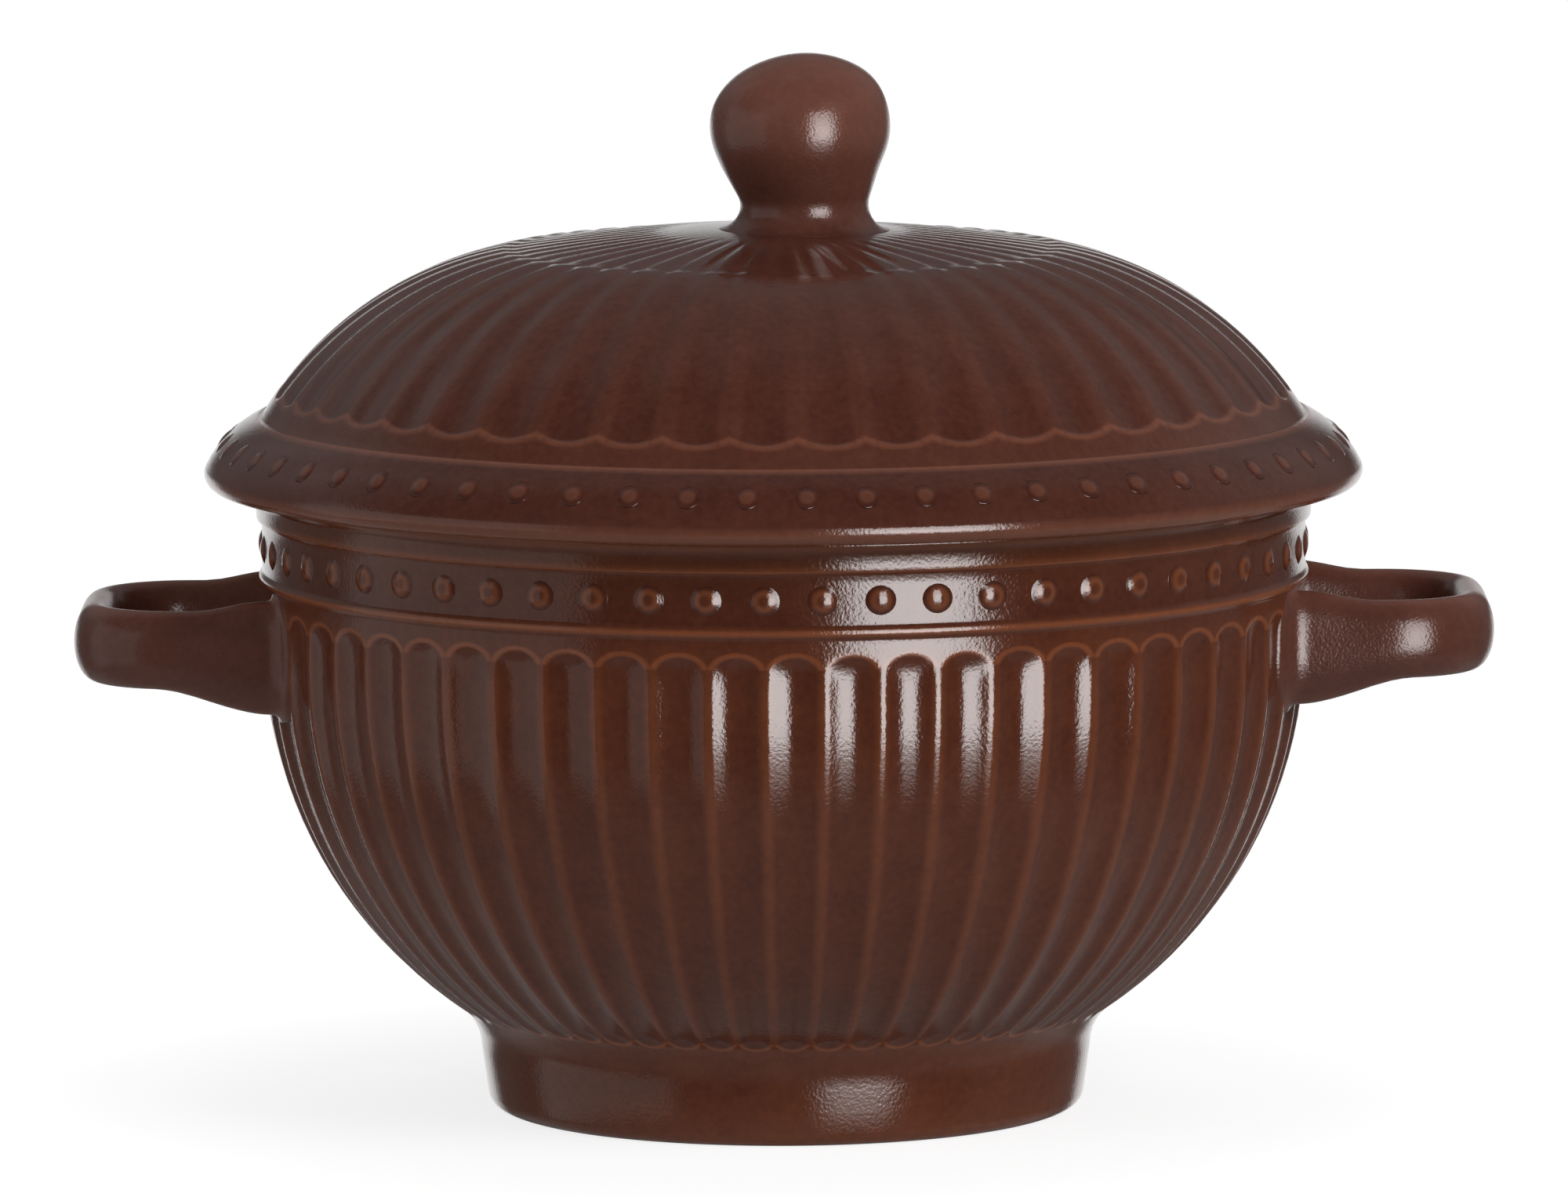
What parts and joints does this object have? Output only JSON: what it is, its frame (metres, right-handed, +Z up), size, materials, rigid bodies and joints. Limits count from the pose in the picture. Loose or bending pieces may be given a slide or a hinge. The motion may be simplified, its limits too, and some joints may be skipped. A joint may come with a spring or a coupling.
{
  "type": "soup cup with lid",
  "caption": "Lidded soup cup: fluted round bowl on a foot ring, a strap loop handle on each side, beaded bands, and a loose fluted domed lid with a round knob.",
  "frame": {"origin": "on the cup's axis, at the level of the foot's standing edge", "axes": "+Z up along the cup's axis, +X towards the right handle, -Y towards the viewer of the front"},
  "size_m": [0.1592, 0.1302, 0.1187],
  "materials": {
    "brown_glaze": "gloss, thinner and lighter on edges"
  },
  "bodies": {
    "cup": {"cup_bowl": "brown_glaze", "cup_foot_ring": "brown_glaze", "cup_beads": "brown_glaze", "handle_left": "brown_glaze", "handle_right": "brown_glaze"},
    "lid": {"lid_dome": "brown_glaze", "lid_beads": "brown_glaze", "lid_knob": "brown_glaze", "lid_locating_ring": "brown_glaze"}
  },
  "joints": [
    {"name": "lid_lift", "type": "slide", "parent": "cup", "child": "lid", "axis": [0, 0, 1], "range_m": [0, 0.12]}
  ]
}
